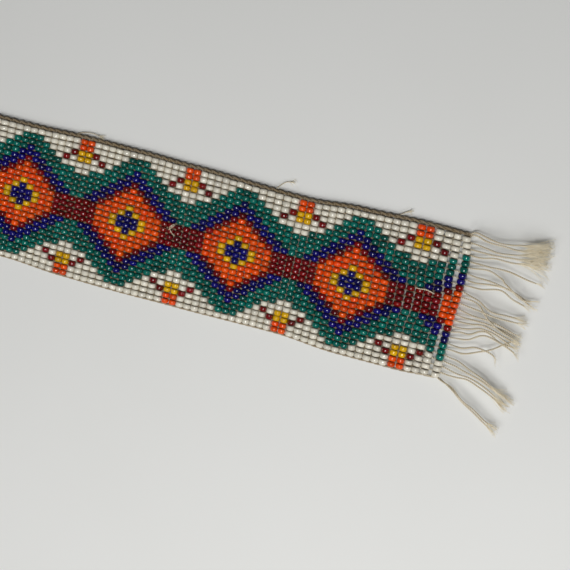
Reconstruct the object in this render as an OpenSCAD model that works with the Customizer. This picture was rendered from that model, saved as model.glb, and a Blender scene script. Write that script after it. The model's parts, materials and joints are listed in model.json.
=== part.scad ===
// A loom-woven band of seed beads with raw thread fringes at both ends.
// The band lies flat on the XY plane: X runs along it, Y across it, and the beads rest at Z = 0.

/* [Beads] */
// Outside diameter of a seed bead
bead_d = 2.0; // [1.8:0.01:2.01]
// Length of a seed bead along its hole
bead_len = 1.22; // [1:0.01:1.25]
// Diameter of the hole through a bead
bead_hole = 0.9; // [0.84:0.01:1.1]
// How far each rim of a bead is bevelled, outwards from its end face
bead_bevel_radial = 0.28; // [0.1:0.01:0.35]
// How far each rim of a bead is bevelled, along its hole
bead_bevel_axial = 0.24; // [0.1:0.01:0.35]

/* [Weave] */
// Distance between neighbouring bead columns, along the band
column_pitch = 2.05; // [2.04:0.01:2.3]
// Distance between neighbouring bead rows, across the band
row_pitch = 1.57; // [1.57:0.01:1.8]
// Diameter of a warp thread, which runs along the band
warp_d = 0.28; // [0.2:0.01:0.28]
// Distance between the two warp threads of a selvedge
selvedge_step = 0.32; // [0.32:0.01:0.5]
// Thickness of the weft thread, which runs across the band through every bead twice
weft_w = 0.18; // [0.12:0.01:0.18]
// Height of the weft's upper pass above the middle of the beads, and depth of its lower pass
weft_rise = 0.27; // [0.27:0.01:0.28]

/* [Raw ends] */
// Columns on each side of the middle that keep the regular pitch
firm_columns = 30; // [20:1:36]
// How much wider than the regular pitch the last gap of an end has become
end_loosening = 0.25; // [0:0.05:0.5]
// Extra gap in front of the very last column, which has slid outwards
last_column_slip = 0.45; // [0:0.05:0.8]

/* [Fringe] */
// How far the longest warp ends reach past the last column
fringe_reach = 21; // [15:0.5:30]
// How much of that reach the shortest warp ends lack
fringe_uneven = 2.2; // [0:0.1:4]
// Length over which the warp ends sink from the beads' middle onto the table
fringe_fall = 7; // [5:0.5:10]

/* [Hidden] */
$fn = 32;
bead_r = bead_d / 2;
rows = 24;
half_rows = rows / 2;
// Columns are numbered along the band, and column 0 is the middle of the middle diamond.
motif = 15;
motif_half = (motif - 1) / 2;
diamonds = 5;
middle_diamond = (diamonds + 1) / 2;
// Columns past the outermost whole diamond, at each end
end_columns = 5;
last_diamond_column = (diamonds - middle_diamond) * motif + motif_half;
last_column = last_diamond_column + end_columns;
loose_columns = last_column - firm_columns;

// A segment is [name, first column, last column]. The band folds between segments.
function diamond_column(k) = (k - middle_diamond) * motif;
SEGMENTS = [
    ["left_end", -last_column, -last_diamond_column - 1],
    for (k = [1:diamonds])
        [str("diamond_", k), diamond_column(k) - motif_half, diamond_column(k) + motif_half],
    ["right_end", last_diamond_column + 1, last_column]
];

// The glass colours, each with its letter in the bead chart.
GLASS = [
    ["white", "W", "ivory"],
    ["teal", "T", "teal"],
    ["navy", "N", "midnightblue"],
    ["dark_red", "R", "darkred"],
    ["orange", "O", "orangered"],
    ["yellow", "Y", "goldenrod"]
];
thread_colour = "wheat";

// The bead chart: one string for each column, counted from the middle of a diamond outwards.
// A string runs from the selvedge to the middle of the band, and the other half mirrors it.
CHART = [
    "WTTNNROOOYNN",
    "WTTTNNROOOYN",
    "WWTTTNNROOOY",
    "WWWTTTNNROOO",
    "WWWWTTTNNROO",
    "WWWRWTTTNNRR",
    "WWRWWTTTTNRR",
    "OOYYWWTTTTRR"
];

// Where the hinge lines' neighbours stop: a warp runs this far past the weft of its last column,
// and the next segment's warp begins this far from that weft.
warp_overrun = 0.1;
warp_clearance = 0.46;

// The warps across the band: a pair in each selvedge and one between every two rows.
warps = rows + 3;
selvedge_y = half_rows * row_pitch;
weft_turn_clearance = 0.04;
weft_turn_y = selvedge_y + selvedge_step + warp_d / 2 + weft_turn_clearance + weft_w / 2;

// The warp ends lie in tufts. A tuft is [first warp, last warp, place of its tip across the band,
// distance between its warps at the tip]; warps are counted from the +Y selvedge.
TUFTS = [
    [0, 4, 18.2, 1.2],
    [5, 5, 11.0, 0.8],
    [6, 9, 6.0, 0.7],
    [10, 12, 0.9, 0.7],
    [13, 20, -6.3, 0.9],
    [21, 24, -20.3, 0.8],
    [25, 26, -28.4, 0.8]
];
// A warp end leaves the last column straight over this length
fringe_straight = 1.1;
// How much of a warp end's way across is even along its length; the rest is eased in and out
fringe_evenness = 0.45;
// A warp end is a tube with this many rings, which stand closer together near its root the more
// that fringe_crowding is above 1
fringe_rings = 10;
fringe_crowding = 1.2;
fringe_sides = 6;
// The golden angle, which spreads the warp ends' lengths with no visible repeat
golden_angle = 137.5;

// Place of a column along the band. The pitch grows towards the raw ends.
function loose_part(n) = max(0, n - firm_columns);
function column_offset(n) =
    n * column_pitch
    + end_loosening * pow(loose_part(n), 2) / (2 * loose_columns)
    + (n == last_column ? last_column_slip : 0);
function column_x(i) = sign(i) * column_offset(abs(i));

// Place of a row across the band. Row 0 is at the +Y selvedge.
function row_y(r) = (half_rows - 0.5 - r) * row_pitch;

// Place of a warp across the band.
function warp_y(k) =
    k == 0 ? selvedge_y + selvedge_step :
    k == warps - 1 ? -selvedge_y - selvedge_step :
    (half_rows + 1 - k) * row_pitch;

// The chart's letter for the bead in a column and a row.
function motif_column(i) = abs(i - motif * round(i / motif));
function letter_at(i, r) = CHART[motif_column(i)][min(r, rows - 1 - r)];

// Where a segment's warps begin and end. The middle diamond keeps both of its edge columns'
// wefts, and every other segment leaves that of the column nearer to the middle to its neighbour.
function inner_gap(n) = column_offset(n) + warp_clearance;
function warps_from(s) =
    s[1] > 0 ? inner_gap(s[1] - 1) :
    column_x(s[1]) - warp_overrun;
function warps_to(s) =
    s[2] < 0 ? -inner_gap(-s[2] - 1) :
    column_x(s[2]) + warp_overrun;

module bead() {
    half = bead_len / 2;
    hole_r = bead_hole / 2;
    rotate([90, 0, 0])
        rotate_extrude()
            polygon([
                [hole_r, -half],
                [bead_r - bead_bevel_radial, -half],
                [bead_r, -half + bead_bevel_axial],
                [bead_r, half - bead_bevel_axial],
                [bead_r - bead_bevel_radial, half],
                [hole_r, half]
            ]);
}

// Every bead of one glass colour in a segment.
module beads(segment, glass) {
    color(glass[2])
        for (i = [segment[1]:segment[2]], r = [0:rows - 1])
            if (letter_at(i, r) == glass[1])
                translate([column_x(i), row_y(r), bead_r])
                    bead();
}

// The straight warp threads inside a segment.
module warps_of(segment) {
    from = warps_from(segment);
    to = warps_to(segment);
    color(thread_colour)
        for (k = [0:warps - 1])
            translate([from, warp_y(k), bead_r])
                rotate([0, 90, 0])
                    cylinder(h = to - from, d = warp_d);
}

// One column's weft: below the warps one way, round the +Y selvedge, and back above the warps.
module weft_hairpin() {
    out = weft_turn_y + weft_w / 2;
    far = weft_rise + weft_w / 2;
    near = weft_rise - weft_w / 2;
    rotate([90, 0, 90])
        linear_extrude(weft_w, center = true)
            polygon([
                [-out, -far],
                [out, -far],
                [out, far],
                [-out, far],
                [-out, near],
                [out - weft_w, near],
                [out - weft_w, -near],
                [-out, -near]
            ]);
}

// The weft's step to the next column, outside the -Y selvedge, from its upper pass to its lower pass.
module weft_step(length) {
    far = weft_rise + weft_w / 2;
    near = weft_rise - weft_w / 2;
    left = length / 2 - weft_w / 2;
    right = length / 2 + weft_w / 2;
    rotate([90, 0, 0])
        linear_extrude(weft_w, center = true)
            polygon([
                [0, near],
                [left, near],
                [left, -far],
                [length, -far],
                [length, -near],
                [right, -near],
                [right, far],
                [0, far]
            ]);
}

// The one weft thread that runs to and fro through a segment.
module weft_of(segment) {
    color(thread_colour) {
        for (i = [segment[1]:segment[2]])
            translate([column_x(i), 0, bead_r])
                weft_hairpin();
        for (i = [segment[1]:segment[2] - 1])
            translate([column_x(i), -weft_turn_y, bead_r])
                weft_step(column_x(i + 1) - column_x(i));
    }
}

// The course of a warp end. x is measured from the last column's weft.
function ease(t) = t * t * (3 - 2 * t);
function tuft_of(k) = [for (t = TUFTS) if (k >= t[0] && k <= t[1]) t][0];
function tip_y(k) = let (t = tuft_of(k)) t[2] + ((t[0] + t[1]) / 2 - k) * t[3];
function reach_of(k) = fringe_reach - fringe_uneven * (1 + sin(k * golden_angle)) / 2;
function fringe_y(k, x) =
    let (t = max(0, (x - fringe_straight) / (reach_of(k) - fringe_straight)))
    warp_y(k) + (tip_y(k) - warp_y(k)) * (fringe_evenness * t + (1 - fringe_evenness) * ease(t));
function fringe_z(x) =
    let (t = min(1, max(0, (x - fringe_straight) / (fringe_fall - fringe_straight))))
    bead_r + (warp_d / 2 - bead_r) * ease(t);
function fringe_x(k, j) =
    j == 0 ? warp_clearance :
    fringe_straight + (reach_of(k) - fringe_straight) * pow((j - 1) / (fringe_rings - 2), fringe_crowding);

// A warp end as a tube: rings in planes across the band, joined by quadrilaterals.
module warp_end(k) {
    points = [
        for (j = [0:fringe_rings - 1], a = [0:fringe_sides - 1])
            let (x = fringe_x(k, j), angle = 360 * a / fringe_sides + 90)
            [
                x,
                fringe_y(k, x) + warp_d / 2 * cos(angle),
                fringe_z(x) + warp_d / 2 * sin(angle)
            ]
    ];
    sides = [
        for (j = [0:fringe_rings - 2], a = [0:fringe_sides - 1])
            let (b = (a + 1) % fringe_sides, ring = j * fringe_sides, next = ring + fringe_sides)
            [ring + a, ring + b, next + b, next + a]
    ];
    first_cap = [for (a = [fringe_sides - 1:-1:0]) a];
    last_cap = [for (a = [0:fringe_sides - 1]) (fringe_rings - 1) * fringe_sides + a];
    polyhedron(points, concat([first_cap], sides, [last_cap]));
}

// All the warp ends of the +X end. The -X end has the same ones, turned half round.
module fringe() {
    color(thread_colour)
        translate([column_x(last_column), 0, 0])
            for (k = [0:warps - 1])
                warp_end(k);
}

for (s = SEGMENTS) {
    for (g = GLASS)
        beads(s, g);
    warps_of(s);
    weft_of(s);
}
rotate([0, 0, 180]) fringe();  // left_fringe_warps
fringe();  // right_fringe_warps
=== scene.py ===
"""A loom-woven band of glass seed beads with raw thread ends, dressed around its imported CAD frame.

Lengths are in metres. X runs along the band, Y across it, Z is up, and the beads lie on Z = 0.
"""

import json
import math
from collections import namedtuple

import bpy
import numpy as np
from mathutils import Matrix, Vector

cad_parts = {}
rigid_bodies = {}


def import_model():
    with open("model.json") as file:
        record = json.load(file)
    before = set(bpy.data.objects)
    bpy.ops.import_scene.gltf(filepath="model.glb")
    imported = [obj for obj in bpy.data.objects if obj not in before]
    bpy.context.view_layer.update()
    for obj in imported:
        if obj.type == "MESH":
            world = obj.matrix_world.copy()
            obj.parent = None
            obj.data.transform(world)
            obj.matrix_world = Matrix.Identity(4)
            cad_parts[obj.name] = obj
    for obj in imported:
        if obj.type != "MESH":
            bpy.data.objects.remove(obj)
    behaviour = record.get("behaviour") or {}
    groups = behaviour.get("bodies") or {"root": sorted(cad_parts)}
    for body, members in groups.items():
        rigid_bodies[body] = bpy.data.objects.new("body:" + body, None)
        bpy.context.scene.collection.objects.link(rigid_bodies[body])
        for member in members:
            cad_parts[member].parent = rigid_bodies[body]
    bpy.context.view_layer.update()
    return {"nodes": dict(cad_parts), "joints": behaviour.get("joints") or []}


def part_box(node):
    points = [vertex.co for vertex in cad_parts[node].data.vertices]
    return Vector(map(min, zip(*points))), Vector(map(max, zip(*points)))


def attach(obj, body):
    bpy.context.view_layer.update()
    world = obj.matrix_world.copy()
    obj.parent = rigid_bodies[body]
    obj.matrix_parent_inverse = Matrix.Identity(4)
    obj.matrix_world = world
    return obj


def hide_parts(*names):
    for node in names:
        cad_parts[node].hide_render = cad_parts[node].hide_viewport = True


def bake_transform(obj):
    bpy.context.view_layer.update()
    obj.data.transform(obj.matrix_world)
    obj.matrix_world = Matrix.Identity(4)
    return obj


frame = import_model()

MM = 0.001
SEED = 11
SEGMENTS = ("left_end", "diamond_1", "diamond_2", "diamond_3", "diamond_4", "diamond_5", "right_end")
ROWS = 24
WARPS = ROWS + 3

# ---------------------------------------------------------------------------------------------
# Places, read from the frame
# ---------------------------------------------------------------------------------------------


def node_points(node):
    """A CAD node's vertices."""
    mesh = frame["nodes"][node].data
    points = np.empty(len(mesh.vertices) * 3, np.float32)
    mesh.vertices.foreach_get("co", points)
    return points.reshape(-1, 3).astype(float)


def middles(values, gap):
    """The middle of each run of values that lie closer together than gap."""
    values = np.unique(values)
    runs = np.split(values, np.nonzero(np.diff(values) > gap)[0] + 1)
    return np.array([(run[0] + run[-1]) / 2 for run in runs])


def columns_of(segment):
    """Where a segment's bead columns lie along the band: its weft turns round the selvedge once in each."""
    points = node_points(segment + "_weft")
    turns = points[points[:, 1] > points[:, 1].max() - 0.01 * MM]
    return middles(turns[:, 0], 0.5 * MM)


COLUMNS = {segment: columns_of(segment) for segment in SEGMENTS}
LAST_X = COLUMNS["right_end"][-1]

# The white beads reach both selvedges, so their box gives the bead's size and the row pitch.
CAD_BEAD_LENGTH = 1.22 * MM
white_low, white_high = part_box("diamond_3_white_beads")
BEAD_R = (white_high.z - white_low.z) / 2
ROW_PITCH = (white_high.y - white_low.y - CAD_BEAD_LENGTH) / (ROWS - 1)
COLUMN_PITCH = float(np.diff(COLUMNS["diamond_3"])[0])
ROW_Y = ((ROWS - 1) / 2 - np.arange(ROWS)) * ROW_PITCH
SELVEDGE_Y = ROWS / 2 * ROW_PITCH


def bead_places(node, columns):
    """The (x, y) of each bead in a CAD node, from the crests of its beads."""
    points = node_points(node)
    crests = points[points[:, 2] > 2 * BEAD_R - 0.1 * MM]
    nearest_column = np.abs(crests[:, :1] - columns).argmin(1)
    nearest_row = np.abs(crests[:, 1:2] - ROW_Y).argmin(1)
    found = sorted(set(zip(nearest_column.tolist(), nearest_row.tolist())))
    return np.array([(columns[i], ROW_Y[r]) for i, r in found])


# ---------------------------------------------------------------------------------------------
# The hand-made band strays from a true grid
# ---------------------------------------------------------------------------------------------

# Each list holds (place, value). Places are in millimetres along the band, or across it for END_BOW and
# SLIDE_ACROSS. WIDTH and SLIDE_ACROSS are shares, LEAN is a slope, and the other values are millimetres.
WIDTH = [(-88, 0.985), (-46, 0.97), (-31, 0.96), (-15, 0.99), (0, 0.99), (15, 0.975), (46, 0.94),
         (61, 0.99), (77, 1.0), (88, 0.98)]
SHIFT = [(-88, 0.1), (-60, -0.1), (-31, 0.2), (-15, 0), (0, -0.1), (15, -0.15), (46, -0.3),
         (61, -0.2), (77, 0.15), (88, 0.4)]
LEAN = [(-88, 0), (-46, -0.01), (-31, 0.03), (-15, 0.03), (0, 0.015), (15, -0.02), (31, -0.04), (45, 0),
        (61, -0.025), (77, -0.03), (88, 0)]
END_BOW = [(-19, 0.4), (-10, 0.35), (-4, 0.3), (4, 0.6), (12, 0.5), (15.3, -0.1), (19, -1.0)]
# The last column is bowed: the bow grows over the first two of these places and is gone at the third.
BOW_FROM, BOW_TO, BOW_GONE = 83.5 * MM, 88 * MM, 99 * MM
# Near the +X end the middle rows have slid outwards.
SLIDE = [(60, 0), (72, 0.3), (78.6, 0.78), (85.3, 0.87), (88, 0)]
SLIDE_ACROSS = [(-7.5, 0), (-3, 1), (2, 1), (7, 0)]


def ease(t):
    """A smooth step: 0 up to t = 0, and 1 from t = 1."""
    t = np.clip(t, 0, 1)
    return t * t * (3 - 2 * t)


def along(marks, place):
    """The value of the smooth curve through marks, at a place given in metres."""
    places, values = np.array(marks, float).T
    at = np.asarray(place, float) / MM
    i = np.clip(np.searchsorted(places, at) - 1, 0, len(places) - 2)
    return values[i] + (values[i + 1] - values[i]) * ease((at - places[i]) / (places[i + 1] - places[i]))


def stray(points):
    """Points of the true grid, moved to where they lie in the hand-made band."""
    x, y, z = np.asarray(points, float).T
    out = np.abs(x)
    bow = ease((out - BOW_FROM) / (BOW_TO - BOW_FROM)) * ease((BOW_GONE - out) / (BOW_GONE - BOW_TO))
    moved_x = x + along(LEAN, x) * y + np.sign(x) * bow * along(END_BOW, np.sign(x) * y) * MM
    moved_x += along(SLIDE, x) * along(SLIDE_ACROSS, y) * MM
    return np.stack([moved_x, y * along(WIDTH, x) + along(SHIFT, x) * MM, z], 1)


# ---------------------------------------------------------------------------------------------
# Meshes
# ---------------------------------------------------------------------------------------------

# A part of a mesh: its points, its faces, and for each point a share from 0 to 1 of painted shade (on the
# threads also dirt).
Part = namedtuple("Part", "points faces shade")


def piece(name, parts, material, tints=None):
    """One smooth object made of parts. Each point keeps its share of painted shade, and its tint if there
    is one.
    """
    points = np.concatenate([part.points for part in parts])
    starts = np.cumsum([0] + [len(part.points) for part in parts[:-1]])
    faces = [face for part, start in zip(parts, starts) for face in
             [[int(i) + int(start) for i in corner] for corner in part.faces]]
    mesh = bpy.data.meshes.new(name)
    mesh.from_pydata(points.tolist(), [], faces)
    shade = np.concatenate([part.shade for part in parts]).astype(np.float32)
    mesh.attributes.new("shade", "FLOAT", "POINT").data.foreach_set("value", shade)
    if tints is not None:
        mesh.attributes.new("tint", "FLOAT", "POINT").data.foreach_set("value", tints.astype(np.float32))
    mesh.shade_smooth()
    mesh.materials.append(material)
    made = bpy.data.objects.new(name, mesh)
    bpy.context.scene.collection.objects.link(made)
    return made


def smooth_path(marks, step):
    """A curve through marks (Catmull-Rom) with a point about every step."""
    marks = np.asarray(marks, float)
    padded = np.vstack([2 * marks[0] - marks[1], marks, 2 * marks[-1] - marks[-2]])
    pieces = []
    for a, b, c, d in zip(padded, padded[1:], padded[2:], padded[3:]):
        count = max(1, round(float(np.linalg.norm(c - b)) / step))
        t = np.linspace(0, 1, count, endpoint=False)[:, None]
        pieces.append(0.5 * (2 * b + (c - a) * t + (2 * a - 5 * b + 4 * c - d) * t**2
                             + (3 * b - a - 3 * c + d) * t**3))
    return np.vstack(pieces + [marks[-1:]])


def travelled(path):
    """How far along a path each of its points is."""
    return np.concatenate([[0], np.cumsum(np.linalg.norm(np.diff(path, axis=0), axis=1))])


def across(path):
    """Two unit vectors across a path at each point, which don't spin along it."""
    tangents = np.gradient(path, axis=0)
    tangents /= np.linalg.norm(tangents, axis=1)[:, None]
    side = np.cross(tangents[0], (0, 0, 1)) + np.array((1e-6, 0, 0))
    sides = np.empty_like(path)
    for i, tangent in enumerate(tangents):
        side = side - tangent * (side @ tangent)
        side = side / np.linalg.norm(side)
        sides[i] = side
    return sides, np.cross(tangents, sides)


def tube(path, radius, sides, plies=1, twist_pitch=None, phase=0.0, dirt_and_shade=0.0, width=1.0):
    """A tube along a path. With 2 plies its section has a waist that turns once in each twist_pitch.
    The brown share is the given level of dirt and painted shade on the crowns, and 1 in the grooves between
    the plies, which is painted shade. The tube's width is a share of its height."""
    side, up = across(path)
    angle = np.linspace(0, 2 * math.pi, sides, endpoint=False)
    radius = np.broadcast_to(radius, len(path))
    if plies == 1:
        wave = np.zeros((len(path), sides))
    else:
        turn = phase + 2 * math.pi * travelled(path) / twist_pitch
        wave = np.cos(2 * (angle[None, :] - turn[:, None]))
    reach = radius[:, None] * (1 + 0.2 * wave)
    width = np.broadcast_to(width, len(path))[:, None]
    offset = (side[:, None, :] * (reach * np.cos(angle) * width)[..., None]
              + up[:, None, :] * (reach * np.sin(angle))[..., None])
    points = (path[:, None, :] + offset).reshape(-1, 3)
    ring = np.arange(len(path) - 1)[:, None] * sides
    a = np.arange(sides)[None, :]
    b = (a + 1) % sides
    quads = np.stack([ring + a, ring + b, ring + b + sides, ring + a + sides], -1).reshape(-1, 4).tolist()
    caps = [list(range(sides))[::-1], list(range(len(points) - sides, len(points)))]
    dirt_and_shade = np.broadcast_to(dirt_and_shade, len(path))[:, None]
    groove = (0.5 - 0.5 * wave) if plies > 1 else np.zeros_like(wave)
    return Part(points, quads + caps, (dirt_and_shade + (1 - dirt_and_shade) * groove).ravel())


# ---------------------------------------------------------------------------------------------
# Materials
# ---------------------------------------------------------------------------------------------


def linear(red, green, blue):
    """A colour given as on a screen, 0 to 255, as linear light."""
    shares = [c / 255 for c in (red, green, blue)]
    return tuple(c / 12.92 if c <= 0.04045 else ((c + 0.055) / 1.055) ** 2.4 for c in shares) + (1.0,)


class Shader:
    """A material's node tree, with short ways to add to it."""

    def __init__(self, name, **settings):
        self.material = bpy.data.materials.new(name)
        self.material.use_nodes = True
        self.tree = self.material.node_tree
        self.surface = self.tree.nodes["Principled BSDF"]
        for socket, value in settings.items():
            self.surface.inputs[socket.replace("_", " ")].default_value = value
        self.places = self.node("ShaderNodeTexCoord").outputs["Object"]

    def node(self, kind, **inputs):
        made = self.tree.nodes.new(kind)
        for socket, value in inputs.items():
            self.feed(value, made.inputs[socket.replace("_", " ")])
        return made

    def feed(self, value, socket):
        if isinstance(value, bpy.types.NodeSocket):
            self.tree.links.new(value, socket)
        else:
            socket.default_value = value

    def attribute(self, name):
        made = self.tree.nodes.new("ShaderNodeAttribute")
        made.attribute_name = name
        return made.outputs["Fac"]

    def noise(self, scale, detail=3.0, stretch=(1, 1, 1)):
        """Noise from 0 to 1 with scale blotches to the metre, stretched along the axes."""
        mapping = self.node("ShaderNodeMapping", Vector=self.places)
        mapping.inputs["Scale"].default_value = stretch
        made = self.node("ShaderNodeTexNoise", Vector=mapping.outputs["Vector"], Scale=scale, Detail=detail)
        return made.outputs["Fac"]

    def ramp(self, value, low, high, to_low, to_high):
        """Value, which runs from low to high, spread over to_low to to_high."""
        made = self.tree.nodes.new("ShaderNodeMapRange")
        sockets = ("From Min", "From Max", "To Min", "To Max")
        for socket, number in zip(sockets, (low, high, to_low, to_high)):
            made.inputs[socket].default_value = number
        self.feed(value, made.inputs["Value"])
        return made.outputs["Result"]

    def mix(self, share, first, second, kind="MIX"):
        made = self.tree.nodes.new("ShaderNodeMix")
        made.data_type = "RGBA"
        made.blend_type = kind
        self.feed(share, made.inputs[0])
        self.feed(first, made.inputs[6])
        self.feed(second, made.inputs[7])
        return made.outputs[2]

    def brightness(self, colour, hue, value):
        return self.node("ShaderNodeHueSaturation", Color=colour, Hue=hue, Value=value).outputs["Color"]

    def bump(self, height, distance, strength):
        made = self.node("ShaderNodeBump", Height=height)
        made.inputs["Distance"].default_value = distance
        made.inputs["Strength"].default_value = strength
        self.tree.links.new(made.outputs["Normal"], self.surface.inputs["Normal"])


# What a seed bead's glass looks like: its colour, the darker colour painted towards its hole as
# shade in the gaps between the beads, how rough its surface is, and how much the beads differ in
# brightness.
Glass = namedtuple("Glass", "colour deep rough uneven")
GLASS = {
    "white": Glass(linear(229, 224, 209), linear(100, 82, 54), 0.34, 0.12),
    "teal": Glass(linear(0, 97, 86), linear(0, 16, 14), 0.22, 0.4),
    "navy": Glass(linear(9, 5, 99), linear(1, 0, 16), 0.20, 0.45),
    "dark_red": Glass(linear(112, 4, 7), linear(18, 0, 1), 0.20, 0.45),
    "orange": Glass(linear(231, 77, 1), linear(84, 10, 0), 0.26, 0.2),
    "yellow": Glass(linear(219, 169, 2), linear(84, 50, 0), 0.26, 0.18),
}


def glass(name):
    """Opaque pressed glass: each bead has its own tint, its colour darkens towards its hole with painted
    shade, faint streaks run along its hole, and its surface is glossy with slight waves and a few dull
    rubbed spots."""
    look = GLASS[name]
    shader = Shader("glass_" + name, Coat_Weight=1.0, Coat_Roughness=0.05, Coat_IOR=1.6, IOR=1.5)
    streaks = shader.noise(900, 2, (1, 0.2, 1))
    # Painted shade: the colour darkens towards each bead's hole, where the row gaps between the beads lie
    # in shade.
    painted_shade = shader.ramp(shader.attribute("shade"), 0.04, 0.52, 0, 0.95)
    colour = shader.mix(painted_shade, look.colour, look.deep)
    tint = shader.attribute("tint")
    value = shader.node("ShaderNodeMath", Value=shader.ramp(tint, 0, 1, 1 - look.uneven, 1 + look.uneven))
    value.operation = "MULTIPLY"
    shader.feed(shader.ramp(streaks, 0.25, 0.75, 0.93, 1.07), value.inputs[1])
    hue = shader.ramp(shader.noise(330, 0), 0.3, 0.7, 0.497, 0.503)
    shader.feed(shader.brightness(colour, hue, value.outputs[0]), shader.surface.inputs["Base Color"])
    rubbed = shader.ramp(shader.noise(1400, 4), 0.55, 0.75, look.rough, look.rough + 0.2)
    shader.feed(rubbed, shader.surface.inputs["Roughness"])
    shader.bump(shader.noise(1100, 2), 0.05 * MM, 0.15)
    return shader.material


def cotton():
    """Unbleached cotton thread: pale crowns, painted brown shade in the grooves between the plies, brown
    dirt and painted shade where the threads lie among the beads, soft mottling and fuzz.
    """
    shader = Shader("cotton_thread", Roughness=0.9, Sheen_Weight=0.2, Sheen_Roughness=0.5, IOR=1.45)
    pale = linear(250, 241, 218)
    brown = linear(112, 90, 58)
    worn = linear(238, 225, 194)
    mottled = shader.mix(shader.ramp(shader.noise(160, 3), 0.35, 0.65, 0, 1), pale, worn)
    # Brown painted in: painted shade in the ply grooves, plus the thread's level of dirt and painted shade.
    groove = shader.ramp(shader.attribute("shade"), 0.35, 1, 0, 0.9)
    shader.feed(shader.mix(groove, mottled, brown), shader.surface.inputs["Base Color"])
    shader.bump(shader.noise(9000, 3, (0.35, 1, 1)), 0.03 * MM, 0.5)
    return shader.material


def board():
    """A pale matt table top, slightly cloudy, with a fine grain."""
    shader = Shader("pale_board", Roughness=0.62, IOR=1.4)
    light = linear(232, 233, 232)
    dull = linear(226, 227, 225)
    shader.feed(shader.mix(shader.noise(14, 4), light, dull), shader.surface.inputs["Base Color"])
    shader.bump(shader.noise(900, 4), 0.05 * MM, 0.1)
    return shader.material


GLASS_MATERIALS = {name: glass(name) for name in GLASS}
COTTON = cotton()

# ---------------------------------------------------------------------------------------------
# Beads
# ---------------------------------------------------------------------------------------------

BEAD_SIDES = 20
BEAD_LENGTH = 1.49 * MM
BEAD_BORE_R = 0.43 * MM
BEAD_OUTLINE_POINTS = 9
# How boxy a bead's section is: 2 would be an ellipse.
BEAD_SHOULDER = 3.1
MOST_BEAD_R = 1.13 * BEAD_R
# How much single beads differ in width, length, tilt, lean and tint, and how far they lie out of line.
WIDTH_SPREAD, LENGTH_SPREAD = 0.018, 0.05
TILT_SPREAD, LEAN_SPREAD = 0.045, 0.06
TINT_SPREAD = 0.26
OUT_OF_LINE = 0.02 * MM
# The beads beside a fold leave this share of their room free and lean less, so that they roll past
# each other.
FOLD_PLAY = 0.055
FOLD_LEAN = 0.4
ALL_COLUMNS = np.concatenate([COLUMNS[segment] for segment in SEGMENTS])
FOLD_COLUMNS = np.concatenate([COLUMNS[segment][[0, -1]] for segment in SEGMENTS])[1:-1]


def bead_template():
    """One bead of radius 1 and length 1, with its hole along Y: a rounded section that is turned round
    the hole. The share of painted shade is 1 at the hole and 0 on the outside."""
    bore = BEAD_BORE_R / BEAD_R
    t = np.linspace(0, math.pi, BEAD_OUTLINE_POINTS)
    power = 2 / BEAD_SHOULDER
    length = -0.5 * np.sign(np.cos(t)) * np.abs(np.cos(t)) ** power
    radius = bore + (1 - bore) * np.sin(t).clip(0) ** power
    length = np.append(length, 0)
    radius = np.append(radius, bore * 0.92)
    angle = np.linspace(0, 2 * math.pi, BEAD_SIDES, endpoint=False)
    points = np.stack([
        radius[None, :] * np.cos(angle)[:, None],
        np.broadcast_to(length, (BEAD_SIDES, len(length))),
        radius[None, :] * np.sin(angle)[:, None],
    ], -1).reshape(-1, 3)
    count = len(length)
    i = np.arange(BEAD_SIDES)[:, None] * count
    j = np.arange(count)[None, :]
    i_next = (i + count) % (BEAD_SIDES * count)
    j_next = (j + 1) % count
    quads = np.stack([i + j, i + j_next, i_next + j_next, i_next + j], -1).reshape(-1, 4)
    shade = np.tile(((1 - radius) / (1 - bore)).clip(0, 1), BEAD_SIDES)
    return Part(points, quads, shade)


TEMPLATE = bead_template()


def small_turns(tilt, spin, lean):
    """Rotation matrices from three lots of small angles, about X, Y and Z."""
    def about(axis, angles):
        a, b = [k for k in range(3) if k != axis]
        made = np.broadcast_to(np.eye(3), (len(angles), 3, 3)).copy()
        made[:, a, a] = made[:, b, b] = np.cos(angles)
        made[:, b, a] = np.sin(angles)
        made[:, a, b] = -np.sin(angles)
        return made
    return about(2, lean) @ about(0, tilt) @ about(1, spin)


def room_for(places):
    """Half the distance between the columns where each bead lies: the most that its radius can be."""
    pitch = np.interp(places[:, 0], ALL_COLUMNS, np.gradient(ALL_COLUMNS))
    step = np.array([0.1 * MM, 0, 0])
    flat = np.column_stack([places, np.zeros(len(places))])
    stretch = (stray(flat + step) - stray(flat - step))[:, 0] / (2 * step[0])
    return np.minimum(pitch * stretch / 2, MOST_BEAD_R)


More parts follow.
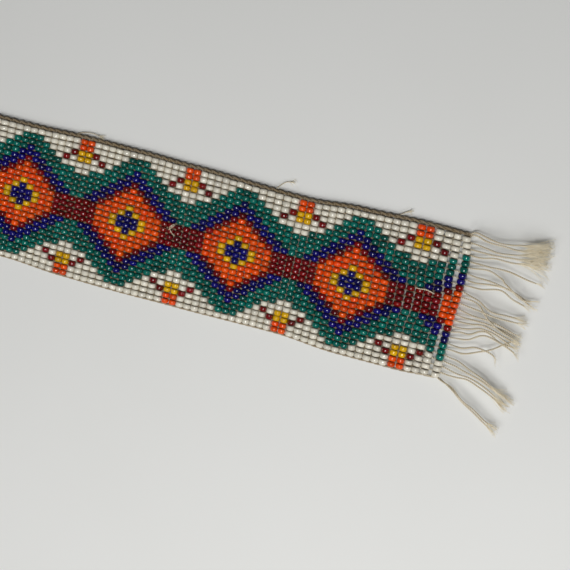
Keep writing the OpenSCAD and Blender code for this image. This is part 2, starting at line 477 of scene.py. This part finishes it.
def beads(name, places, glass_name, rng):
    """All the beads of one glass in one segment. No two have quite the same size, tilt or tint."""
    count = len(places)
    room = room_for(places)
    wide = room * (0.995 + WIDTH_SPREAD * rng.normal(size=count)).clip(0.95, 1.01)
    by_fold = np.abs(places[:, :1] - FOLD_COLUMNS).min(1) < COLUMN_PITCH / 2
    wide = np.where(by_fold, wide.clip(None, room * (1 - FOLD_PLAY)), wide)
    long = BEAD_LENGTH * (1 + LENGTH_SPREAD * rng.normal(size=count)).clip(0.88, 1.07)
    size = np.stack([wide, long, wide], 1)
    turns = small_turns(TILT_SPREAD * rng.normal(size=count), rng.uniform(0, 2 * math.pi, count),
                        LEAN_SPREAD * rng.normal(size=count) * np.where(by_fold, FOLD_LEAN, 1))
    centres = stray(np.column_stack([places, wide + OUT_OF_LINE * rng.random(count) * ~by_fold]))
    centres[:, 0] += OUT_OF_LINE * rng.normal(size=count) * ~by_fold
    points = TEMPLATE.points[None] * size[:, None, :]
    points = np.einsum("nij,nkj->nki", turns, points) + centres[:, None, :]
    faces = TEMPLATE.faces[None] + (np.arange(count) * len(TEMPLATE.points))[:, None, None]
    whole = Part(points.reshape(-1, 3), faces.reshape(-1, 4).tolist(), np.tile(TEMPLATE.shade, count))
    tints = np.repeat((0.5 + TINT_SPREAD * rng.normal(size=count)).clip(0, 1), len(TEMPLATE.points))
    return piece(name, [whole], GLASS_MATERIALS[glass_name], tints)


def make_beads():
    rng = np.random.default_rng(SEED)
    for segment in SEGMENTS:
        for glass_name in GLASS:
            node = f"{segment}_{glass_name}_beads"
            places = bead_places(node, COLUMNS[segment])
            made = beads(f"{segment}_{glass_name}_glass", places, glass_name, rng)
            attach(made, segment)
            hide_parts(node)


# ---------------------------------------------------------------------------------------------
# Warps inside the weave
# ---------------------------------------------------------------------------------------------

WOVEN_R = 0.145 * MM
CORD_PLY_R = 0.25 * MM
LOOSE_R = 0.21 * MM
# How brown the thread is in the weave, in the selvedge's cord and where it is loose: partly dirt, partly
# painted shade.
WOVEN_DIRT_AND_SHADE, CORD_DIRT_AND_SHADE, LOOSE_DIRT_AND_SHADE = 0.85, 0.97, 0.3
THREAD_PITCH = 1.15 * MM
WEAVE_STEP = 0.2 * MM
CORD_Y = SELVEDGE_Y + 0.42 * MM
CORD_R = 0.23 * MM
# The beads press the warps between them flat: this is their width for a height of 1.
WOVEN_WIDTH = 1.4
# The columns at the ends have slid apart, and the warps there are rounder and carry less dirt and painted
# shade.
SLACK_FROM, SLACK_TO = 80 * MM, 86 * MM


def warp_course(k, x):
    """Warp k's place at each x of the true grid. The two warps of the +Y selvedge are twisted into a
    cord, those of the -Y selvedge lie one on the other, and the rest run between the rows."""
    if k <= 1:
        turn = math.pi * (x / COLUMN_PITCH + k)
        return np.stack([x, CORD_Y + CORD_R * np.cos(turn), BEAD_R + CORD_R * np.sin(turn)], 1)
    if k >= WARPS - 2:
        upper = 2 * (k - (WARPS - 2)) - 1
        y = np.full_like(x, -SELVEDGE_Y - 0.04 * MM - 0.05 * MM * upper)
        return np.stack([x, y, np.full_like(x, BEAD_R + 0.15 * MM * upper)], 1)
    y = (ROWS / 2 + 1 - k) * ROW_PITCH + 0.02 * MM * np.sin(x / (3.1 * MM) + 2.4 * k)
    z = BEAD_R - 0.05 * MM + 0.05 * MM * np.sin(2 * math.pi * x / (2 * COLUMN_PITCH) + 1.7 * k)
    return np.stack([x, y, z], 1)


def woven_radius(k):
    return CORD_PLY_R if k <= 1 else WOVEN_R


# The dirt and painted shade of warp k in the weave.
def woven_dirt_and_shade(k):
    return CORD_DIRT_AND_SHADE if k <= 1 else WOVEN_DIRT_AND_SHADE


def woven_path(k, x_from, x_to):
    count = max(2, round(abs(x_to - x_from) / WEAVE_STEP) + 1)
    return warp_course(k, np.linspace(x_from, x_to, count))


def woven_width(k):
    """Warp k's width as a share of its height. Only those between the rows are flat."""
    return WOVEN_WIDTH if 1 < k < WARPS - 2 else 1.0


def thread(path, phase, dirt_and_shade, radius=WOVEN_R, sides=8, width=1.0):
    return tube(path, radius, sides, 2, THREAD_PITCH, phase, dirt_and_shade, width)


# ---------------------------------------------------------------------------------------------
# Fringe
# ---------------------------------------------------------------------------------------------

# A tuft of warp ends, in millimetres from the middle of the last column. Its warps, first to last,
# draw together at gather (out, across) with gather_step between them, and end round tip with tip_step
# between them. They arch up by arch, and their last frayed millimetres open into fibres.
Tuft = namedtuple("Tuft", "first last gather gather_step tip tip_step arch frayed fibres spread")
TUFTS = [
    Tuft(0, 4, (8.2, 17.0), 1.0, (18.8, 18.4), 1.25, 2.6, 9.0, 42, 1.4),
    Tuft(5, 5, (9.5, 12.9), 0.4, (19.8, 11.1), 0.6, 2.2, 4.0, 10, 0.35),
    Tuft(6, 9, (11.4, 8.7), 0.35, (19.2, 6.0), 0.85, 2.6, 3.5, 9, 0.5),
    Tuft(10, 12, (10.8, 1.3), 0.55, (19.4, 1.0), 0.6, 2.6, 4.5, 14, 0.6),
    Tuft(13, 20, (10.2, -3.4), 0.75, (18.7, -6.2), 0.95, 2.4, 3.0, 9, 0.5),
    Tuft(21, 24, (10.0, -16.1), 0.75, (19.6, -20.4), 1.0, 2.0, 7.0, 18, 0.8),
    Tuft(25, 26, (9.0, -23.0), -0.6, (19.2, -28.2), -0.75, 1.6, 6.0, 18, 0.6),
]
# Warp ends whose whole way is given, as (out, across) in millimetres. Some of them leave their tuft.
ROUTES = {
    0: [(2.6, 19.4), (7.9, 18.5), (13.4, 18.9), (18.6, 19.7)],
    1: [(2.3, 20.2), (7.9, 19.2), (13.4, 20.2), (18.9, 21.2)],
    4: [(3.9, 14.4), (7.5, 15.1), (10.7, 15.3), (19.4, 15.6)],
    6: [(6.2, 11.7), (9.9, 10.8), (11.3, 9.6), (15.9, 6.9), (19.8, 7.1)],
    9: [(5.5, 6.8), (10.6, 7.8), (14.0, 6.3), (18.4, 4.6)],
    11: [(5.7, 2.9), (9.5, -0.4), (14.3, -2.7), (18.5, -4.4)],
    19: [(4.9, -9.2), (8.0, -8.2), (11.3, -8.3), (13.2, -9.2), (14.0, -10.9)],
    20: [(5.3, -10.5), (8.2, -9.6), (11.4, -7.8), (15.2, -5.4), (17.6, -4.0)],
}
# A warp end comes straight out of the last column for this many millimetres.
ROOT = 0.9
KINK_SIZE = 0.1 * MM
FRINGE_STEP = 0.17 * MM
FIBRE_R = 0.032 * MM
HAIR_R = 0.014 * MM


def tuft_of(k):
    return next(tuft for tuft in TUFTS if tuft.first <= k <= tuft.last)


def fringe_marks(k, root_y, root_z, rng):
    """The points that a warp end passes, in metres: out from the last column, across, and up."""
    tuft = tuft_of(k)
    place = (tuft.first + tuft.last) / 2 - k
    gather = (tuft.gather[0] + rng.normal() * 0.5, tuft.gather[1] + place * tuft.gather_step)
    tip = (tuft.tip[0] + rng.uniform(-1.3, 0.9), tuft.tip[1] + place * tuft.tip_step + rng.normal() * 0.25)
    halfway = ((ROOT + gather[0]) * 0.5, root_y / MM * 0.62 + gather[1] * 0.38)
    route = ROUTES.get(k, [halfway, gather, tip])
    marks = [(0, root_y / MM, root_z / MM), (ROOT, root_y / MM, root_z / MM + 0.15)]
    layer = rng.uniform(0, 0.5)
    for out, across_band in route:
        share = out / route[-1][0]
        lift = 0.8 + layer + tuft.arch * math.sin(math.pi * min(1, 0.9 * share))
        marks.append((out, across_band, lift))
    return np.array(marks) * MM


def kinks(path, rng, size):
    """Small slow bends that start beyond the root of a warp end."""
    s = travelled(path)
    grow = ease(s / (5 * MM))
    for axis in (1, 2):
        for wave in (2.6 * MM, 5.5 * MM):
            path[:, axis] += grow * size * rng.normal() * np.sin(s / wave * 2 + rng.uniform(0, 6))
    path[:, 2] = path[:, 2].clip(0.2 * MM)
    return path


def fibres(path, count, length, spread, rng):
    """Fine fibres that leave the end of a frayed thread and fan out."""
    s = travelled(path)
    made = []
    for _ in range(count):
        begin = s[-1] - length * rng.uniform(0.55, 1.0)
        end = s[-1] + length * rng.uniform(-0.12, 0.16)
        steps = np.linspace(begin, end, 9)
        core = np.stack([np.interp(steps, s, path[:, axis]) for axis in range(3)], 1)
        beyond = (steps - s[-1]).clip(0)[:, None]
        core += beyond * (path[-1] - path[-4]) / np.linalg.norm(path[-1] - path[-4])
        drift = np.array([0.3 * rng.normal(), rng.normal(), 0.7 * rng.normal()]) * spread
        curl = np.array([0, rng.normal(), rng.normal()]) * spread * 0.25
        t = np.linspace(0, 1, 9)[:, None]
        core += drift * t**1.6 + curl * np.sin(t * rng.uniform(4, 9)) * t
        core[:, 2] = core[:, 2].clip(0.05 * MM)
        made.append(tube(smooth_path(core, 0.6 * MM), FIBRE_R, 4))
    return made


def warp_end(k, side, rng):
    """The path of warp k past the last column, at the +X end (side 1) or the -X end (side -1)."""
    local = k if side > 0 else WARPS - 1 - k
    root = warp_course(k, np.array([side * LAST_X]))[0]
    marks = fringe_marks(local, side * root[1], root[2], rng)
    path = kinks(smooth_path(marks, FRINGE_STEP), rng, KINK_SIZE)
    return np.column_stack([side * (LAST_X + path[:, 0]), side * path[:, 1], path[:, 2]]), tuft_of(local)


def fringed_warp(k, side, x_from, rng):
    """Warp k from inside the weave to its frayed end."""
    end_path, tuft = warp_end(k, side, rng)
    woven = woven_path(k, x_from, side * LAST_X)
    path = stray(np.vstack([woven[:-1], end_path]))
    s = travelled(path)
    frayed = tuft.frayed * MM
    keep = s < s[-1] - 0.45 * frayed
    left = ease((s[-1] - s[keep]) / frayed)
    loose = ease((s[keep] - s[len(woven)]) / (2 * MM))
    radius = woven_radius(k) + (LOOSE_R - woven_radius(k)) * loose
    slack = loose if k <= 1 else ease((np.abs(path[keep, 0]) - SLACK_FROM) / (SLACK_TO - SLACK_FROM))
    width = woven_width(k) + (1 - woven_width(k)) * slack
    # Dirt and painted shade change from the weave's level to the loose level past the end.
    dirt_and_shade = woven_dirt_and_shade(k) + (LOOSE_DIRT_AND_SHADE - woven_dirt_and_shade(k)) * slack
    phase = rng.uniform(0, 6)
    made = [thread(path[keep], phase, dirt_and_shade, radius * (0.45 + 0.55 * left), width=width)]
    made += fibres(path, tuft.fibres, frayed, tuft.spread * MM, rng)
    made += fuzz(path[len(woven):], 6, rng)
    return made


def fuzz(path, count, rng):
    """Short hairs that stand off a thread."""
    made = []
    for _ in range(count):
        start = path[rng.integers(0, len(path) - 1)]
        way = rng.normal(size=3) * np.array([1, 0.8, 0.5])
        way /= np.linalg.norm(way)
        bend = rng.normal(size=3) * 0.5
        t = np.linspace(0, 1, 6)[:, None] * rng.uniform(0.6, 1.5) * MM
        hair = start + way * t + bend * t**2 / MM
        hair[:, 2] = hair[:, 2].clip(0.03 * MM)
        made.append(tube(hair, HAIR_R, 3))
    return made


# ---------------------------------------------------------------------------------------------
# Warps, one piece over each joint
# ---------------------------------------------------------------------------------------------


def middle_of(segment):
    columns = COLUMNS[segment]
    return float(columns[len(columns) // 2])


def make_warps():
    """Each piece runs from the middle of one body to the middle of the next, or to the end of the
    fringe, across the joint between them."""
    rng = np.random.default_rng(SEED + 1)
    for joint in frame["joints"]:
        parent, child, x = joint["parent"], joint["child"], joint["pos_m"][0]
        side = 1 if x > 0 else -1
        parts = []
        for k in range(WARPS):
            if child in COLUMNS:
                path = stray(woven_path(k, middle_of(parent), middle_of(child)))
                phase = rng.uniform(0, 6)
                parts.append(thread(path, phase, woven_dirt_and_shade(k), woven_radius(k), width=woven_width(k)))
            else:
                parts += fringed_warp(k, side, middle_of(parent), rng)
        made = piece("warps_over_" + joint["name"], parts, COTTON)
        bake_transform(made)
        replaced = [body + "_warps" for body in (parent, child)]
        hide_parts(*replaced)


# ---------------------------------------------------------------------------------------------
# Weft
# ---------------------------------------------------------------------------------------------

WEFT_R = 0.1 * MM
WEFT_STEP = 0.32 * MM
IN_BEAD = 0.2 * MM
OVER_WARP = 0.28 * MM
LOOP_R = 0.47 * MM


def weft_pass(x, level):
    """The weft's marks across column x, from the -Y selvedge to the +Y one, above (level 1) or below
    (level -1) the warps."""
    marks = []
    for r in range(ROWS - 1, -1, -1):
        marks.append((x, ROW_Y[r] - ROW_PITCH / 2, BEAD_R + level * OVER_WARP))
        marks.append((x, ROW_Y[r], BEAD_R + level * IN_BEAD))
    marks.append((x, SELVEDGE_Y, BEAD_R + level * (OVER_WARP + 0.1 * MM)))
    return marks


def weft_column(x):
    """Under the warps, round the cord of the +Y selvedge, and back above the warps."""
    turn = [
        (x - 0.15 * MM, CORD_Y, BEAD_R - LOOP_R),
        (x - 0.1 * MM, CORD_Y + LOOP_R, BEAD_R),
        (x, CORD_Y, BEAD_R + LOOP_R),
    ]
    return weft_pass(x, -1) + turn + weft_pass(x, 1)[::-1]


def weft_step(x, x_next):
    """Round the -Y selvedge, from above the warps of column x to below those of the next."""
    y = -SELVEDGE_Y - 0.3 * MM
    return [
        (x + 0.1 * MM, y, BEAD_R + 0.16 * MM),
        ((x + x_next) / 2, y - 0.04 * MM, BEAD_R - 0.02 * MM),
        (x_next - 0.1 * MM, y, BEAD_R - 0.2 * MM),
    ]


def weft_tube(marks):
    # The weft carries the weave's dirt and painted shade.
    return tube(stray(smooth_path(marks, WEFT_STEP)), WEFT_R, 6, dirt_and_shade=WOVEN_DIRT_AND_SHADE)


def make_wefts():
    for segment in SEGMENTS:
        columns = COLUMNS[segment]
        marks = weft_column(columns[0])
        for x, x_next in zip(columns, columns[1:]):
            marks += weft_step(x, x_next) + weft_column(x_next)
        made = piece(segment + "_weft_thread", [weft_tube(marks)], COTTON)
        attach(made, segment)
        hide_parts(segment + "_weft")


def make_weft_steps():
    """The weft's steps from one segment to the next, across the fold."""
    for joint in frame["joints"]:
        parent, child, x = joint["parent"], joint["child"], joint["pos_m"][0]
        if child not in COLUMNS:
            continue
        edges = sorted((COLUMNS[parent][-1 if x > 0 else 0], COLUMNS[child][0 if x > 0 else -1]))
        top = (edges[0], -SELVEDGE_Y + 0.3 * MM, BEAD_R + IN_BEAD)
        bottom = (edges[1], -SELVEDGE_Y + 0.3 * MM, BEAD_R - IN_BEAD)
        step = weft_tube([top] + weft_step(*edges) + [bottom])
        made = piece("weft_over_" + joint["name"], [step], COTTON)
        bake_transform(made)


# ---------------------------------------------------------------------------------------------
# Loose thread ends on the band
# ---------------------------------------------------------------------------------------------

# Ends of weft that were cut and left by the +Y selvedge, as (x, y, z) in millimetres.
WEFT_TAILS = {
    "diamond_2": [(-19.2, 18.9, 1.0), (-17.4, 19.9, 0.6), (-15.0, 20.4, 0.5), (-13.0, 20.3, 0.5),
                  (-11.2, 19.9, 0.7)],
    "diamond_4": [(37.4, 18.4, 1.0), (38.2, 19.6, 0.5), (39.6, 20.7, 0.4), (41.6, 20.9, 0.5)],
    "diamond_5": [(69.4, 19.4, 1.0), (70.3, 20.2, 0.7), (71.6, 21.1, 0.6), (72.6, 21.3, 0.5)],
}
# A curled end that lies on the dark red bar, tied into the weave.
KNOT = [(11.7, 0.9, 1.6), (12.2, 1.3, 2.2), (13.1, 2.3, 2.4), (13.3, 2.8, 2.25), (12.7, 2.5, 2.4),
        (12.2, 1.8, 2.45), (12.6, 0.9, 2.3), (13.3, 0.2, 2.1), (13.6, 0.0, 1.7)]
# A slack length of warp that has come up between two rows, near the +X end.
SLACK_WARP = [(78.0, 3.0, 1.5), (79.2, 3.1, 2.2), (80.8, 3.3, 2.45), (81.9, 3.1, 2.4), (83.0, 2.7, 1.6)]
# The slack warp's dirt and painted shade.
SLACK_DIRT_AND_SHADE = 0.2
TAIL_R = 0.11 * MM
TAIL_STEP = 0.15 * MM


def loose_thread(marks, frayed, count, spread, rng):
    """A thread through marks, given in millimetres, with a frayed end of count fibres."""
    path = smooth_path(np.array(marks) * MM, TAIL_STEP)
    s = travelled(path)
    keep = s < s[-1] - 0.4 * frayed
    made = [thread(path[keep], 0.0, LOOSE_DIRT_AND_SHADE, TAIL_R, 6)]
    return made + fibres(path, count, frayed, spread, rng) + fuzz(path, 8, rng)


def make_loose_ends():
    rng = np.random.default_rng(SEED + 2)
    for segment, marks in WEFT_TAILS.items():
        parts = loose_thread(marks, 2.0 * MM, 10, 0.5 * MM, rng)
        made = piece(segment + "_weft_tail", parts, COTTON)
        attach(made, segment)
    made = piece("diamond_3_loose_knot", loose_thread(KNOT, 0.5 * MM, 5, 0.25 * MM, rng), COTTON)
    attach(made, "diamond_3")
    slack = thread(smooth_path(np.array(SLACK_WARP) * MM, TAIL_STEP), 0.0, SLACK_DIRT_AND_SHADE)
    made = piece("right_end_slack_warp", [slack], COTTON)
    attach(made, "right_end")


# ---------------------------------------------------------------------------------------------
# Table, light and camera
# ---------------------------------------------------------------------------------------------

FLOOR_SIZE = 4.0
LIT_PLACE = (0.045, 0, 0)
WARM_WHITE = (1.0, 0.99, 0.97)


def make_floor():
    half = FLOOR_SIZE / 2
    mesh = bpy.data.meshes.new("table_top")
    corners = [(-half, -half, 0), (half, -half, 0), (half, half, 0), (-half, half, 0)]
    mesh.from_pydata(corners, [], [(0, 1, 2, 3)])
    mesh.materials.append(board())
    floor = bpy.data.objects.new("table_top", mesh)
    bpy.context.scene.collection.objects.link(floor)


def area_light(name, place, size, watts, colour):
    """A round soft lamp that points at LIT_PLACE."""
    data = bpy.data.lights.new(name, "AREA")
    data.shape = "DISK"
    data.size = size
    data.energy = watts
    data.color = colour
    light = bpy.data.objects.new(name, data)
    light.location = place
    light.rotation_euler = (Vector(LIT_PLACE) - Vector(place)).to_track_quat("-Z", "Y").to_euler()
    bpy.context.scene.collection.objects.link(light)
    return light


def make_light():
    """A dim sky and three lamps. Glossy rays see only the top one, so each bead has one highlight."""
    world = bpy.data.worlds.new("studio")
    world.use_nodes = True
    world.node_tree.nodes["Background"].inputs["Color"].default_value = (0.95, 0.97, 1.0, 1.0)
    world.node_tree.nodes["Background"].inputs["Strength"].default_value = 0.045
    bpy.context.scene.world = world
    key = area_light("key", (-0.114, -0.277, 0.509), 0.32, 1.37, WARM_WHITE)
    side = area_light("side", (0.26, -0.25, 0.25), 0.2, 0.45, WARM_WHITE)
    area_light("top", (0.13, -0.09, 0.48), 0.13, 0.8, (1.0, 0.995, 0.985))
    for light in (key, side):
        light.visible_glossy = False


CAMERA_PLACE = Vector((0.0910, 0.0464, 0.2698))
CAMERA_BACK = Vector((0.1647, 0.1862, 0.9686))
CAMERA_UP = Vector((-0.2584, 0.9559, -0.1398))
CAMERA_LENS = 67.6


def make_camera():
    back = CAMERA_BACK.normalized()
    right = CAMERA_UP.cross(back).normalized()
    up = back.cross(right)
    data = bpy.data.cameras.new("camera")
    data.lens = CAMERA_LENS
    data.clip_start = 0.01
    camera = bpy.data.objects.new("camera", data)
    camera.matrix_world = Matrix.Translation(CAMERA_PLACE) @ Matrix((right, up, back)).transposed().to_4x4()
    bpy.context.scene.collection.objects.link(camera)
    bpy.context.scene.camera = camera


make_camera()
make_light()
make_floor()
make_beads()
make_warps()
make_wefts()
make_weft_steps()
make_loose_ends()
bpy.context.scene.view_settings.view_transform = "Standard"
